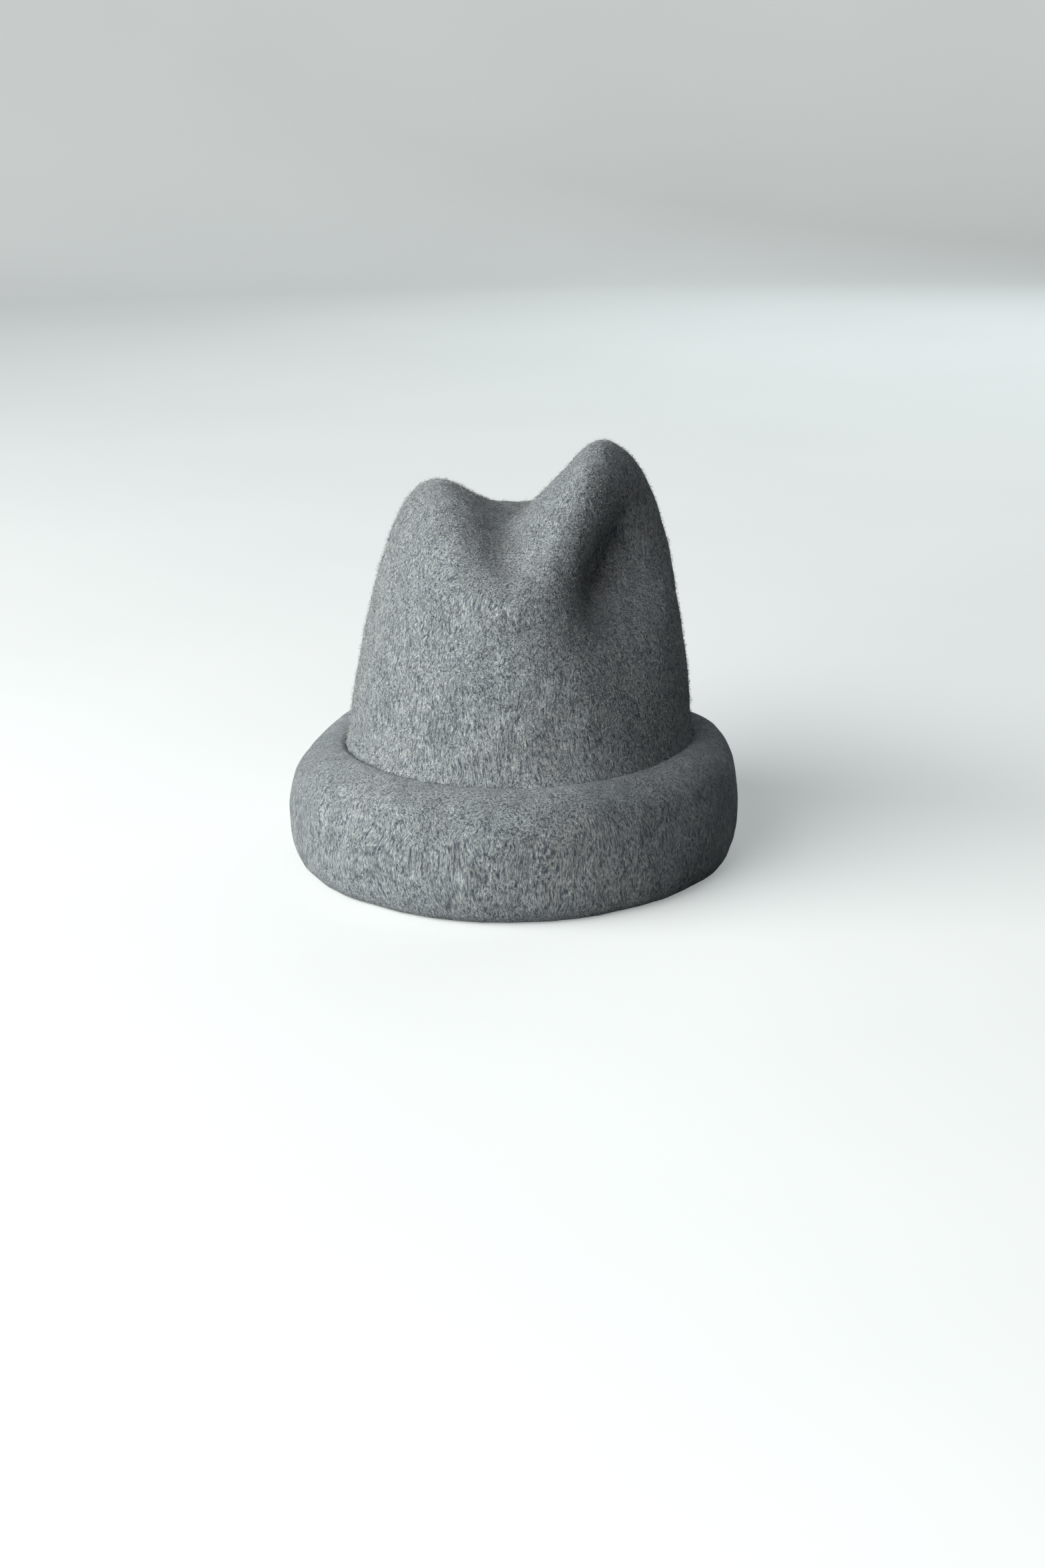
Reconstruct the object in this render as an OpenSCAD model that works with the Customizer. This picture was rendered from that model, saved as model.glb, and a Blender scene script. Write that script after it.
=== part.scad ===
// Soft felt fedora with a tall dented crown and a deep brim that is rolled up all round.
// Millimetres, +Z up, front of the hat towards -Y, wearer's right towards -X.
// The origin is the bottom centre: the hat stands on the fold under its rolled brim.

/* [Head opening] */
// Half the crown's outside width at the head opening
crown_half_w = 85.5; // [82:0.5:88]
// Half the crown's outside length at the head opening
crown_half_l = 102; // [98:0.5:105]
// Thickness of the felt
felt = 3; // [2.4:0.1:3.4]
// How far the head opening sits to the +X side of the brim's middle
crown_shift = 3; // [0:0.5:3]

/* [Crown] */
// Height where the crown leaves the brim roll
fold_z = 48; // [44:1:52]
// Height of the crown's top plane over the middle, before the dents
crown_top = 218; // [205:1:222]
// Roundness of the crown's shoulder: 2 is an ellipse, larger is squarer
shoulder_power = 3.6; // [2.8:0.1:4]
// How much squarer the shoulder is on the -X side than on the +X side
shoulder_side = 0.2; // [0:0.05:0.4]
// Part of the width that the crown loses towards its top
crown_taper = 0.255; // [0.15:0.005:0.27]
// How late the taper comes: 1 is even, larger keeps the sides upright for longer
taper_power = 1.5; // [1:0.1:2.2]
// How far the crown's top leans towards +X
crown_lean = 9; // [0:0.5:11]
// Rise of the top plane towards +X, per millimetre
side_rise = 0.095; // [0:0.005:0.16]
// Rise of the top plane towards the back, per millimetre
back_rise = 0.158; // [0:0.002:0.2]
// Extra height of the peak over the +X side
peak_h = 9; // [0:1:12]

/* [Top crease] */
// Depth of the crease at the back of the crown
crease_back = 56; // [40:1:58]
// Depth of the crease at the front of the crown
crease_front = 37; // [25:1:45]
// Reach of the crease's walls at the back
crease_w_back = 47; // [36:1:50]
// Reach of the crease's walls at the front
crease_w_front = 28; // [20:1:35]

/* [Side pinch] */
// Depth of the broad pinch beside the front
pinch_depth = 17; // [8:1:20]
// Length of the pinch, measured as a half length
pinch_l = 44; // [30:1:50]
// Half width of the pinch on its upper bank
pinch_w_up = 40; // [30:1:44]
// Half width of the pinch on its lower bank
pinch_w_down = 34; // [24:1:38]
// Slope of the pinch's long axis
pinch_slope = 48.5; // [40:0.5:60]
// Depth of the narrow fold inside the pinch
fold_depth = 13; // [6:1:15]
// Length of the narrow fold, measured as a half length
fold_l = 36; // [26:1:42]
// Half width of the narrow fold on its upper bank
fold_w_up = 15; // [14:1:24]
// Half width of the narrow fold on its lower bank
fold_w_down = 18; // [14:1:26]
// Slope of the narrow fold's long axis
fold_slope = 39.5; // [34:0.5:50]

/* [Rolled brim] */
// How far the roll stands out from the crown
brim_reach = 28; // [27:0.5:30]
// Height of the roll's top ridge
brim_h = 58; // [55:0.5:60]
// Height at which the roll is widest
brim_bulge_z = 16.5; // [14:0.5:20]
// Sideways reach of the roll's upper round
upper_round = 23.5; // [20:0.5:24]
// Sideways reach of the fold under the roll
lower_round = 9; // [8:0.5:10]

/* [Inside] */
// Height of the leather sweatband
sweatband_h = 36; // [30:1:40]
// Thickness of the sweatband
sweatband_t = 1; // [0.8:0.1:1.2]
// Height of the lining's flat tip
lining_tip_z = 114; // [105:1:116]
// Thickness of the lining's satin
satin = 0.5; // [0.4:0.1:0.6]
// Thickness of the wire in the brim's edge
wire_d = 1.2; // [1:0.1:1.4]

/* [Hidden] */

// Mesh fineness: points round the hat, rows up the crown and steps along each round
around = 56;
crown_rows = 20;
round_steps = 5;
step_a = 360 / around;

// The crown's raw bottom edge and the clearance between laid-together layers
crown_edge_z = 6;
clear = 0.2;

// Powers of the crease's falloff and of the side dents' ends
crease_power = 2;
dent_end_power = 2.4;
// The crease's middle line in plan: its x at the hat's middle, and its slant along y
crease_x = 7;
crease_slant = 0.04;
// Lengths in y over which the crease changes from its front to its back shape
crease_front_y = -70;
crease_blend = 120;
// Part of the crown's height below which the crease has no effect
crease_from = 0.55;
// The +X peak's place and spread in plan
peak_at = [41, -17];
peak_spread = [21, 42];
// Centres of the broad pinch and of the narrow fold inside it
pinch_at = [59, -56, 147];
fold_at = [47, -39, 152];
// Distance from the hat's axis over which both fade in
dent_side = 40;
// Each dent pressed into the side: centre, depth, half length, upper and lower half width, slope
side_dents = [
    [pinch_at, pinch_depth, pinch_l, pinch_w_up, pinch_w_down, pinch_slope],
    [fold_at, fold_depth, fold_l, fold_w_up, fold_w_down, fold_slope]
];

// Powers of the brim roll's upper and lower rounds
upper_power = 2.7;
lower_power = 2.6;
// Space left for the ribbon between the rolled edge and the crown
tuck_gap = 0.9;
// Reach and drop of the small round where the roll turns down against the crown
tuck_round = brim_reach - upper_round - tuck_gap;
// Share by which the roll is shallower on +X and deeper on -X, so that it stays centred
brim_squeeze = crown_shift / brim_reach;
// Height of the rolled edge's raw end, and of the brim's stand against the crown
tuck_end_z = 40;
stand_top_z = 24;
// Where the wire lies beside the raw edge
wire_out = tuck_gap + felt + wire_d;
wire_z = tuck_end_z + 2;

// Insets of the inner layers from the crown's outside
tape_in = felt + 0.05;
tape_t = 0.6;
tape_z = [9, 16];
band_in = felt + 0.9;
band_z = 8;
reed_r = 1.1;
reed_z = 6.7;
thread_r = 0.3;
// Distance of a thread's middle from the face that it lies on
thread_lift = thread_r + 0.25;

// The lining: insets from the head oval with their heights, from its hem to its tip seam
lining_hem = [band_in + sweatband_t + 0.5, 30];
lining_waist = [band_in + sweatband_t + 3, 70];
lining_seam_in = 24;
piping_r = 1;

// Small hardware and trim
joiner_r = 0.95;
joiner_l = 8;
binding_h = 8;
seam_gap = 0.3;
seam_z = [12, 40];
seam_w = 4;
seam_steps = 14;
bow_z = 32;
bow_gap = 1.4;
size_label_turn = 18;
size_label_size = [12, 20];
label_t = 0.4;
label_size = [48, 28];

felt_colour = [0.50, 0.51, 0.52];
leather_colour = [0.30, 0.19, 0.12];
satin_colour = [0.20, 0.21, 0.25];
thread_colour = [0.36, 0.37, 0.38];
ribbon_colour = [0.16, 0.17, 0.20];
label_colour = [0.85, 0.83, 0.76];
steel_colour = [0.70, 0.71, 0.72];

// ---- shared functions ----

function smooth(v) = let(c = min(1, max(0, v))) c * c * (3 - 2 * c);

// Radius factor of a superellipse of power n in the direction a
function lame(a, n) = pow(pow(abs(cos(a)), n) + pow(abs(sin(a)), n), -1 / n);

function unit(v) = v / norm(v);

// Direction that leaves the head oval squarely, at angle a
function oval_out(a) = unit([cos(a) / crown_half_w, sin(a) / crown_half_l]);

// Point at angle a, offset outwards from the head oval, at height z
function oval_point(a, out, z) =
    [crown_shift + crown_half_w * cos(a) + out * oval_out(a).x,
     crown_half_l * sin(a) + out * oval_out(a).y,
     z];

// Direction along the head oval at angle a
function oval_along(a) = atan2(oval_out(a).x, -oval_out(a).y);

// ---- the crown's surface ----

// Height of the dented crown at plan point x, y, before the crease is pressed in
function top_plane(x, y) =
    crown_top + side_rise * x + back_rise * y
    + peak_h * exp(-pow((x - peak_at.x) / peak_spread.x, 2) - pow((y - peak_at.y) / peak_spread.y, 2));

// Depth of the front-to-back crease at plan point x, y
function crease(x, y) =
    let(
        f = smooth((y - crease_front_y) / crease_blend),
        reach = crease_w_front + (crease_w_back - crease_w_front) * f,
        depth = crease_front + (crease_back - crease_front) * f,
        across = abs(x - crease_x - crease_slant * y) / reach
    )
    depth * exp(-pow(across, crease_power));

// The crown before its side dents: angle a round it, s from the fold (0) to the top's middle (1)
function dome_point(a, s) =
    let(
        k = lame(90 * s, shoulder_power - shoulder_side * cos(a)),
        rise = sin(90 * s) * k,
        out = cos(90 * s) * k * (1 - crown_taper * pow(rise, taper_power)),
        x = crown_shift + crown_half_w * out * cos(a) + crown_lean * rise,
        y = crown_half_l * out * sin(a),
        fade = smooth((rise - crease_from) / (1 - crease_from))
    )
    [x, y, fold_z + (top_plane(x, y) - fold_z) * rise - crease(x, y) * fade];

// One side dent presses p in, square to the side that the dent sits on
function dented(p, dent) =
    let(
        at = dent[0],
        dir = atan2(at.y, at.x),
        slope = dent[5],
        d = p - at,
        round_side = -d.x * sin(dir) + d.y * cos(dir),
        along = round_side * cos(slope) + d.z * sin(slope),
        across = -round_side * sin(slope) + d.z * cos(slope),
        bank = across > 0 ? dent[3] : dent[4],
        out = p.x * cos(dir) + p.y * sin(dir),
        press = dent[1] * smooth(out / dent_side)
            * exp(-pow(abs(along) / dent[2], dent_end_power) - pow(across / bank, 2))
    )
    p - press * [cos(dir), sin(dir), 0];

function crown_point(a, s) = dented(dented(dome_point(a, s), side_dents[0]), side_dents[1]);

// Outward normal of the crown's surface, from two short chords across the point
function crown_normal(a, s) =
    let(
        t = min(0.985, max(0.01, s)),
        round_chord = crown_point(a + 1, t) - crown_point(a - 1, t),
        up_chord = crown_point(a, t + 0.01) - crown_point(a, t - 0.01)
    )
    unit(cross(round_chord, up_chord));

function top_normal() =
    unit(cross(crown_point(0, 0.98) - crown_point(180, 0.98),
               crown_point(90, 0.98) - crown_point(270, 0.98)));

// One row of crown points, moved inwards by inset
function crown_row(s, inset) = [
    for (i = [0 : around - 1])
        crown_point(i * step_a, s) - inset * crown_normal(i * step_a, s)
];

function oval_row(out, z) = [for (i = [0 : around - 1]) oval_point(i * step_a, out, z)];

// Rows of one skin of the crown from its raw edge to just short of the top's middle
function crown_skin(inset) = concat(
    [oval_row(-inset, crown_edge_z), oval_row(-inset, fold_z - felt)],
    [for (k = [0 : crown_rows - 1]) crown_row(k / crown_rows, inset)]
);

// ---- meshing helpers ----

// Two triangles for each cell of a wrapped grid; rows are listed from the bottom up
function wall_faces(rows, first, flip) = [
    for (r = [0 : rows - 2], i = [0 : around - 1])
        let(
            j = (i + 1) % around,
            a = first + r * around + i,
            b = first + r * around + j,
            c = b + around,
            d = a + around
        )
        each flip ? [[a, b, c], [a, c, d]] : [[a, c, b], [a, d, c]]
];

// Triangles from the last row to a single point at the top
function cap_faces(last_row, tip, flip) = [
    for (i = [0 : around - 1])
        let(a = last_row + i, b = last_row + (i + 1) % around)
        flip ? [a, b, tip] : [a, tip, b]
];

// Point on the brim, whose reach varies a little round the hat
function brim_point(a, out, z) = oval_point(a, out * (1 - brim_squeeze * cos(a)), z);

// A closed section of [out, z] points carried once round the head oval, or round the brim
module oval_sweep(section, on_brim = false) {
    m = len(section);
    points = [
        for (i = [0 : around - 1], p = section)
            let(a = i * step_a)
            on_brim ? brim_point(a, p[0], p[1]) : oval_point(a, p[0], p[1])
    ];
    faces = [
        for (i = [0 : around - 1], j = [0 : m - 1])
            let(
                i2 = (i + 1) % around,
                j2 = (j + 1) % m,
                a = i * m + j,
                b = i * m + j2,
                c = i2 * m + j2,
                d = i2 * m + j
            )
            each [[a, b, c], [a, c, d]]
    ];
    polyhedron(points = points, faces = faces, convexity = 10);
}

// A band with flat faces that follows the head oval between two insets
module oval_band(in_1, in_2, z_1, z_2) {
    translate([0, 0, z_1])
        linear_extrude(z_2 - z_1)
            difference() {
                polygon([for (p = oval_row(-in_1, 0)) [p.x, p.y]]);
                polygon([for (p = oval_row(-in_2, 0)) [p.x, p.y]]);
            }
}

// Round bead of radius r that follows the head oval
module oval_bead(inset, z, r, sides, on_brim = false) {
    section = [
        for (k = [0 : sides - 1])
            let(a = 360 * k / sides)
            [-inset + r * cos(a), z - r * sin(a)]
    ];
    oval_sweep(section, on_brim);
}

// Straight thread between two points
module thread(p, q) {
    d = q - p;
    translate(p)
        rotate([0, acos(d.z / norm(d)), atan2(d.y, d.x)])
            cylinder(r = thread_r, h = norm(d), $fn = 16);
}

// A ring of running stitches on the inside of a layer
module stitch_ring(count, inset, z, stitch_l) {
    for (i = [0 : count - 1]) {
        a = 360 * (i + 0.5) / count;
        middle = oval_point(a, -inset, z);
        half = stitch_l / 2 * [cos(oval_along(a)), sin(oval_along(a)), 0];
        thread(middle - half, middle + half);
    }
}

// ---- the brim's section ----

// Quarter round about the centre c with reaches r, from direction a_1 to a_2
function quarter(c, r, power, a_1, a_2) = [
    for (k = [0 : round_steps])
        let(a = a_1 + (a_2 - a_1) * k / round_steps)
        c + lame(a, power) * [r[0] * cos(a), r[1] * sin(a)]
];

// Outside of the roll, from its stand on the crown, under, up, over and down to the raw edge
brim_path = concat(
    [[clear, stand_top_z]],
    quarter([clear + lower_round, lower_round], [lower_round, lower_round], 2, 180, 270),
    quarter([brim_reach - lower_round, brim_bulge_z], [lower_round, brim_bulge_z], lower_power, 270, 360),
    [for (p = quarter([brim_reach - upper_round, brim_bulge_z], [upper_round, brim_h - brim_bulge_z],
        upper_power, 0, 90)) if (p[1] > brim_bulge_z + 1) p],
    [for (p = quarter([tuck_gap + tuck_round, brim_h - tuck_round], [tuck_round, tuck_round], 2, 90, 180))
        if (p[0] < brim_reach - upper_round) p],
    [[tuck_gap, tuck_end_z]]
);

// The same path moved to the felt's other face
function inner_side(path) = [
    for (i = [0 : len(path) - 1])
        let(
            before = path[max(0, i - 1)],
            after = path[min(len(path) - 1, i + 1)],
            t = unit(after - before)
        )
        path[i] + felt * [-t[1], t[0]]
];

// ---- sub-parts ----

module crown() {
    outer = crown_skin(0);
    inner = crown_skin(felt);
    rows = len(outer);
    skin = rows * around;
    outer_tip = 2 * skin;
    inner_tip = 2 * skin + 1;
    points = concat(
        [for (row = outer, p = row) p],
        [for (row = inner, p = row) p],
        [crown_point(0, 1), crown_point(0, 1) - felt * top_normal()]
    );
    rim = [
        for (i = [0 : around - 1])
            let(a = i, b = (i + 1) % around, c = skin + b, d = skin + a)
            each [[a, b, c], [a, c, d]]
    ];
    color(felt_colour)
        polyhedron(
            points = points,
            faces = concat(
                wall_faces(rows, 0, false),
                wall_faces(rows, skin, true),
                cap_faces(skin - around, outer_tip, false),
                cap_faces(2 * skin - around, inner_tip, true),
                rim
            ),
            convexity = 10
        );
}

module rolled_brim() {
    inner = inner_side(brim_path);
    section = concat(brim_path, [for (i = [len(inner) - 1 : -1 : 0]) inner[i]]);
    color(felt_colour)
        oval_sweep(section, on_brim = true);
}

module brim_wire() {
    color(steel_colour)
        oval_bead(-wire_out, wire_z, wire_d / 2, 6, on_brim = true);
}

// A short sleeve over the wire's two ends, along the straight stretch just past the back
module wire_joiner() {
    p = brim_point(90, wire_out, wire_z);
    q = brim_point(90 + step_a, wire_out, wire_z);
    color(steel_colour)
        translate((p + q) / 2)
            rotate([0, 90, atan2(q.y - p.y, q.x - p.x)])
                difference() {
                    cylinder(r = joiner_r, h = joiner_l, center = true, $fn = 32);
                    cylinder(r = wire_d / 2 + 0.05, h = 2 * joiner_l, center = true, $fn = 32);
                }
}

// Ribbon folded round the brim's raw edge and its wire
module edge_binding() {
    near = clear;
    far = tuck_gap + felt + 2 * wire_d + 0.4;
    low = tuck_end_z - clear;
    high = tuck_end_z + binding_h;
    color(ribbon_colour)
        oval_sweep([
            [near, high], [near, low - tape_t], [far, low - tape_t], [far, high],
            [far - tape_t, high], [far - tape_t, low], [near + tape_t, low], [near + tape_t, high]
        ], on_brim = true);
}

// Stitches through the crown and the brim's stand, seen on the crown's inside
module headline_stitching() {
    color(thread_colour)
        stitch_ring(90, felt + thread_lift, 20, 4);
}

// A few long stitches that hold the rolled edge against the crown
module tacking_stitches() {
    color(thread_colour)
        stitch_ring(16, felt + thread_lift, 44.4, 6);
}

module stay_tape() {
    color(label_colour)
        oval_band(tape_in, tape_in + tape_t, tape_z[0], tape_z[1]);
}

// A leather strip whose two ends meet at the back
module sweatband() {
    color(leather_colour)
        difference() {
            oval_band(band_in, band_in + sweatband_t, band_z, band_z + sweatband_h);
            translate([crown_shift - seam_gap / 2, 0, 0])
                cube([seam_gap, 2 * crown_half_l, 2 * (band_z + sweatband_h)]);
        }
}

module sweatband_reed() {
    color(leather_colour)
        oval_bead(band_in + sweatband_t / 2, reed_z, reed_r, 8);
}

module reed_stitching() {
    color(thread_colour)
        stitch_ring(90, band_in + sweatband_t + thread_lift, band_z + 2.5, 4);
}

// Zigzag that joins the sweatband's ends
module seam_stitching() {
    rise = (seam_z[1] - seam_z[0]) / seam_steps;
    y = crown_half_l - band_in - sweatband_t - thread_lift;
    color(thread_colour)
        for (k = [0 : seam_steps - 1]) {
            side = (k % 2 == 0) ? 1 : -1;
            z = seam_z[0] + k * rise;
            thread([crown_shift - side * seam_w / 2, y, z],
                   [crown_shift + side * seam_w / 2, y, z + rise]);
        }
}

// A flat ribbon bow: two loops and two tails behind a knot
module sweatband_bow() {
    y = crown_half_l - band_in - sweatband_t - bow_gap;
    color(ribbon_colour)
        translate([crown_shift, y, bow_z])
            rotate([90, 0, 0]) {
                cylinder(r = 2.2, h = 3.2, $fn = 24);
                for (side = [-1, 1]) {
                    translate([side * 6.5, 0, 0.3])
                        linear_extrude(2.2)
                            difference() {
                                polygon([[-side * 6, -1.2], [side * 6, -4], [side * 6, 4], [-side * 6, 1.2]]);
                                translate([side * 2.5, 0]) circle(r = 1.2, $fn = 24);
                            }
                    rotate([0, 0, side * 28])
                        translate([-1.8, -13, 0.3])
                            cube([3.6, 13, 0.6]);
                }
            }
}

// A small blank tab that hangs beside the bow
module size_label() {
    a = 90 + size_label_turn;
    p = oval_point(a, -(band_in + sweatband_t + 0.5), band_z + sweatband_h / 2);
    color(label_colour)
        translate(p)
            rotate([0, 0, oval_along(a)])
                translate([-size_label_size[0] / 2, 0, -size_label_size[1] / 2])
                    cube([size_label_size[0], label_t, size_label_size[1]]);
}

// The lining's side: a tapering satin wall between the sweatband and the tip
module lining_side() {
    ins = [lining_hem, lining_waist, [lining_seam_in, lining_tip_z - 2 * piping_r - clear]];
    color(satin_colour)
        oval_sweep(concat(
            [for (p = ins) [-p[0], p[1]]],
            [for (k = [2 : -1 : 0]) [-ins[k][0] - satin, ins[k][1]]]
        ));
}

module lining_piping() {
    color(satin_colour)
        oval_bead(lining_seam_in, lining_tip_z - piping_r - clear / 2, piping_r, 8);
}

module lining_tip() {
    color(satin_colour)
        translate([0, 0, lining_tip_z])
            linear_extrude(satin)
                polygon([for (p = oval_row(-lining_seam_in, 0)) [p.x, p.y]]);
}

// Blank woven label under the middle of the lining's tip
module maker_label() {
    color(label_colour)
        translate([crown_shift - label_size[0] / 2, -label_size[1] / 2, lining_tip_z - label_t - 0.05])
            cube([label_size[0], label_size[1], label_t]);
}

crown();
rolled_brim();
brim_wire();
wire_joiner();
edge_binding();
headline_stitching();
tacking_stitches();
stay_tape();
sweatband();
sweatband_reed();
reed_stitching();
seam_stitching();
sweatband_bow();
size_label();
lining_side();
lining_piping();
lining_tip();
maker_label();
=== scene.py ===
import math

import bpy
import numpy as np
from mathutils import Euler, Matrix, Vector


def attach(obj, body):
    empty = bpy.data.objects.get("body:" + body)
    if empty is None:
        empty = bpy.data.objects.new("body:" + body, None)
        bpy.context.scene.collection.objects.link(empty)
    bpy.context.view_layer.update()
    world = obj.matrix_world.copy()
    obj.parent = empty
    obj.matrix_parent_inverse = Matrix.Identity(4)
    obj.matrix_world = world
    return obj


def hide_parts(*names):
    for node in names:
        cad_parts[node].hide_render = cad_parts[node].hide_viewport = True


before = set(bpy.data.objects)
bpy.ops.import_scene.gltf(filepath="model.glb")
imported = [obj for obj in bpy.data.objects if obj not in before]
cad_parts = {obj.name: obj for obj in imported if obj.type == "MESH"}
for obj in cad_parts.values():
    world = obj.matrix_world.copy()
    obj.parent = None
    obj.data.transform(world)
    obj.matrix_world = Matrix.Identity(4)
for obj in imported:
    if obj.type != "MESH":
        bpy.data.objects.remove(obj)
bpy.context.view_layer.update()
MM = 0.001

# ---- the hat's measures in millimetres, as in part.scad ----
HALF_W, HALF_L, SHIFT, FELT = 85.5, 102.0, 3.0, 3.0
FOLD_Z, CROWN_TOP = 48.0, 218.0
SHOULDER, SHOULDER_SIDE, TAPER, TAPER_POWER, LEAN = 3.6, 0.2, 0.255, 1.5, 9.0
SIDE_RISE, BACK_RISE, PEAK_H = 0.095, 0.158, 9.0
PEAK_AT, PEAK_SPREAD = (41.0, -17.0), (21.0, 42.0)
CREASE_D, CREASE_W = (37.0, 56.0), (28.0, 47.0)
CREASE_X, CREASE_SLANT, CREASE_FRONT_Y, CREASE_BLEND, CREASE_FROM = 7.0, 0.04, -70.0, 120.0, 0.55
# side dents: centre, depth, half length, upper and lower bank, slope of the long axis
DENTS = [((59.0, -56.0, 147.0), 17.0, 44.0, 40.0, 34.0, math.radians(48.5)),
         ((47.0, -39.0, 152.0), 13.0, 36.0, 15.0, 18.0, math.radians(39.5))]
DENT_END, DENT_SIDE = 2.4, 40.0
REACH, BRIM_H, BULGE_Z, UPPER, LOWER = 28.0, 58.0, 16.5, 23.5, 9.0
UPPER_POWER, LOWER_POWER = 2.7, 2.6
CLEAR, TUCK_GAP, TUCK_END, STAND_TOP, CROWN_EDGE = 0.2, 0.9, 40.0, 24.0, 6.0
TUCK = REACH - UPPER - TUCK_GAP
BAND_IN, BAND_T, BAND_Z, BAND_H = 3.9, 1.0, 8.0, 36.0
AROUND = 288  # points round the head oval
CROWN_ROWS = 120
TAPE_IN, TAPE_OUT, TAPE_Z, TAPE_TOP = 3.65, 3.05, 9, 16
REED_Z, REED_R = 6.7, 1.1
WIRE_Z, WIRE_R = 42, 0.6
BINDING_LOW, BINDING_TOP, BINDING_T = 39.2, 48, 0.6
PIPING_IN, PIPING_Z, PIPING_R = 24, 112.9, 1
LINING_HEM, LINING_WAIST, LINING_TOP = (5.4, 30), (7.9, 70), (24, 111.8)  # inset, height
LINING_T, TIP_Z = 0.5, 114.0
SNUG = 2.2  # the felt swells a little against the roll and closes the groove


def smooth(v):
    c = np.clip(v, 0, 1)
    return c * c * (3 - 2 * c)


def lame(a, n):
    """Radius of a rounded square of power n at angle a: 2 is a circle."""
    return (np.abs(np.cos(a)) ** n + np.abs(np.sin(a)) ** n) ** (-1 / n)


def unit(v):
    return v / np.maximum(np.linalg.norm(v, axis=-1, keepdims=True), 1e-12)


def oval_out(a):
    return unit(np.stack([np.cos(a) / HALF_W, np.sin(a) / HALF_L], -1))


def oval_point(a, out, z):
    """Point at angle a, offset outwards from the head oval, at height z."""
    o = oval_out(a)
    return np.stack([SHIFT + HALF_W * np.cos(a) + out * o[..., 0],
                     HALF_L * np.sin(a) + out * o[..., 1], z + 0 * a], -1)


def angle_of(points):
    return np.arctan2(points[:, 1] / HALF_L, (points[:, 0] - SHIFT) / HALF_W)


def brim_point(a, out, z):
    """As oval_point, for the roll, whose centre lies on the middle line of the hat."""
    return oval_point(a, out * (1 - SHIFT / REACH * np.cos(a)), z)


def dome_point(a, s):
    """The crown before its pinch: a round it, s from the fold (0) to the middle of the top (1)."""
    t = s * math.pi / 2
    k = lame(t, SHOULDER - SHOULDER_SIDE * np.cos(a))
    rise = np.sin(t) * k
    out = np.cos(t) * k * (1 - TAPER * rise ** TAPER_POWER)
    x = SHIFT + HALF_W * out * np.cos(a) + LEAN * rise
    y = HALF_L * out * np.sin(a)
    top = CROWN_TOP + SIDE_RISE * x + BACK_RISE * y + PEAK_H * np.exp(
        -((x - PEAK_AT[0]) / PEAK_SPREAD[0]) ** 2 - ((y - PEAK_AT[1]) / PEAK_SPREAD[1]) ** 2)
    f = smooth((y - CREASE_FRONT_Y) / CREASE_BLEND)
    reach = CREASE_W[0] + (CREASE_W[1] - CREASE_W[0]) * f
    depth = CREASE_D[0] + (CREASE_D[1] - CREASE_D[0]) * f
    crease = depth * np.exp(-((x - CREASE_X - CREASE_SLANT * y) / reach) ** 2)
    fade = smooth((rise - CREASE_FROM) / (1 - CREASE_FROM))
    return np.stack([x, y, FOLD_Z + (top - FOLD_Z) * rise - crease * fade], -1)


def crown_point(a, s):
    """The crown with its side dents pressed in."""
    p = dome_point(a, s)
    for middle, depth, half_length, up, down, slope in DENTS:
        turn = math.atan2(middle[1], middle[0])
        c, q = math.cos(turn), math.sin(turn)  # the way that the dent faces
        d = p - np.array(middle)
        side = -d[..., 0] * q + d[..., 1] * c
        along = side * math.cos(slope) + d[..., 2] * math.sin(slope)
        across = -side * math.sin(slope) + d[..., 2] * math.cos(slope)
        bank = np.where(across > 0, up, down)
        out = p[..., 0] * c + p[..., 1] * q
        press = depth * smooth(out / DENT_SIDE) * np.exp(
            -(np.abs(along) / half_length) ** DENT_END - (across / bank) ** 2)
        p = p - press[..., None] * np.array([c, q, 0])
    return p


def crown_normal(a, s):
    t = np.clip(s, 0.01, 0.985)
    e = math.radians(1)
    return unit(np.cross(crown_point(a + e, t) - crown_point(a - e, t),
                         crown_point(a, t + 0.01) - crown_point(a, t - 0.01)))


# ---- soft hand-made unevenness: a sum of seeded waves through space ----
rng = np.random.default_rng(41)


def wave_set(count, short, long):
    length = np.exp(rng.uniform(math.log(short), math.log(long), count))
    return unit(rng.normal(size=(count, 3))) * (2 * math.pi / length)[:, None], \
        rng.uniform(0, 2 * math.pi, count)


WAVES_FINE, WAVES_BROAD, WAVES_NAP = wave_set(28, 9, 26), wave_set(16, 34, 80), wave_set(14, 25, 70)


def waves(p, kind):
    k, phase = kind
    return np.sin(np.tensordot(p, k.T, 1) + phase).mean(-1) * math.sqrt(2 * len(phase))


def uneven(p):
    return 0.16 * waves(p, WAVES_FINE) + 0.45 * waves(p, WAVES_BROAD)


# ---- mesh building ----
angle = np.arange(AROUND) * 2 * math.pi / AROUND


def new_object(name, points, faces):
    """A smooth-shaded mesh object, from points in millimetres."""
    mesh = bpy.data.meshes.new(name)
    points = np.asarray(points, np.float32)
    faces = np.asarray(faces, np.int32)
    n = faces.shape[1]
    mesh.vertices.add(len(points))
    mesh.vertices.foreach_set("co", (points * MM).ravel())
    mesh.loops.add(faces.size)
    mesh.loops.foreach_set("vertex_index", faces.ravel())
    mesh.polygons.add(len(faces))
    mesh.polygons.foreach_set("loop_start", np.arange(0, faces.size, n, dtype=np.int32))
    mesh.polygons.foreach_set("use_smooth", np.full(len(faces), True))
    mesh.update(calc_edges=True)
    mesh.validate()
    o = bpy.data.objects.new(name, mesh)
    bpy.context.scene.collection.objects.link(o)
    return o


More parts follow.
